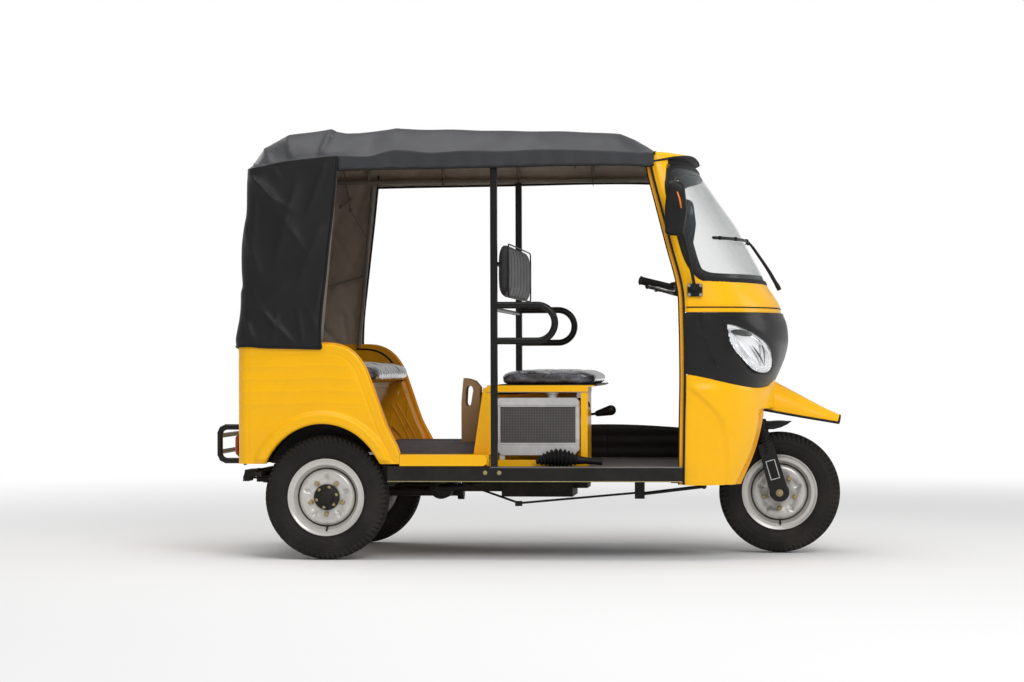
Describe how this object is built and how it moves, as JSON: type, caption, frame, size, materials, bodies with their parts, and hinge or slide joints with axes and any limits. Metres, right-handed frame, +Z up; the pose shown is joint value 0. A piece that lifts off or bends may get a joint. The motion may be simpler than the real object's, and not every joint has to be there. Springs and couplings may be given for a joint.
{
  "type": "three-wheeled passenger auto rickshaw",
  "caption": "Three-wheeled passenger auto rickshaw with an open-sided body, a fabric canopy, a closed yellow nose, a passenger bench and one steered front wheel.",
  "frame": {"origin": "on the ground, under the middle of the whole vehicle's box", "axes": "+X forward, +Y to the vehicle's left, +Z up"},
  "size_m": [2.8504, 1.412, 1.944],
  "materials": {
    "yellow_paint": "gloss paint",
    "chassis_black": "satin black paint",
    "sill_black": "semi-gloss black paint",
    "black_tube": "gloss black powder coat",
    "frame_grey": "matt grey paint",
    "floor_mat": "ribbed rubber mat",
    "beige_panel": "satin beige board",
    "grey_vinyl": "smooth vinyl",
    "canopy_vinyl": "coated charcoal vinyl",
    "clear_sheet": "clear soft sheet",
    "radiator_aluminium": "brushed",
    "brown_plastic": "moulded",
    "engine_casting": "rough casting",
    "axle_black": "black paint",
    "spring_steel": "black paint",
    "black_plastic": "semi-gloss",
    "windscreen_glass": "clear",
    "headlight_chrome": "bright reflector behind a clear lens",
    "red_lens": "clear red lens",
    "silver_rim": "silver paint",
    "tyre_rubber": "rubber"
  },
  "bodies": {
    "chassis": {"chassis_rails": "chassis_black", "cross_members": "chassis_black", "steering_neck": "chassis_black", "side_sills": "sill_black", "front_floor": "floor_mat", "rear_floor": "yellow_paint", "quarter_panel_right": "yellow_paint", "quarter_panel_left": "yellow_paint", "rear_wall": "yellow_paint", "passenger_seat_base": "beige_panel", "passenger_cushion": "grey_vinyl", "passenger_backrest": "grey_vinyl", "canopy": "canopy_vinyl", "canopy_frame": "frame_grey", "rear_window": "clear_sheet", "pillars": "black_tube", "driver_backrest": "grey_vinyl", "armrest_loops": "black_tube", "driver_seat_box": "yellow_paint", "driver_cushion": "grey_vinyl", "radiator": "radiator_aluminium", "coolant_tank": "brown_plastic", "engine_block": "engine_casting", "rear_axle": "axle_black", "leaf_springs": "spring_steel", "front_cowl": "yellow_paint", "nose_mask": "black_plastic", "cab_frame": "yellow_paint", "windscreen": "windscreen_glass", "headlights": "headlight_chrome", "beak_mudguard": "yellow_paint", "leg_shield": "black_plastic", "kick_panel": "black_plastic", "mirrors": "black_plastic", "wiper": "black_plastic", "rear_bumper": "black_tube", "tail_lights": "red_lens", "floor_controls": "chassis_black"},
    "fork": {"fork_legs": "chassis_black", "handlebar": "black_plastic"},
    "front_wheel": {"front_rim": "silver_rim", "front_tyre": "tyre_rubber"},
    "rear_wheel_right": {"rear_rim_right": "silver_rim", "rear_tyre_right": "tyre_rubber"},
    "rear_wheel_left": {"rear_rim_left": "silver_rim", "rear_tyre_left": "tyre_rubber"}
  },
  "joints": [
    {"name": "steering", "type": "hinge", "parent": "chassis", "child": "fork", "pos_m": [1.10836, 0, 0.27035], "axis": [-0.2756, 0, 0.9613], "range_deg": [-35, 35]},
    {"name": "front_wheel_spin", "type": "hinge", "parent": "fork", "child": "front_wheel", "pos_m": [1.142, 0, 0.28], "axis": [0, 1, 0], "continuous": true},
    {"name": "rear_right_spin", "type": "hinge", "parent": "chassis", "child": "rear_wheel_right", "pos_m": [-0.888, -0.552, 0.28], "axis": [0, 1, 0], "continuous": true},
    {"name": "rear_left_spin", "type": "hinge", "parent": "chassis", "child": "rear_wheel_left", "pos_m": [-0.888, 0.552, 0.28], "axis": [0, 1, 0], "continuous": true}
  ]
}
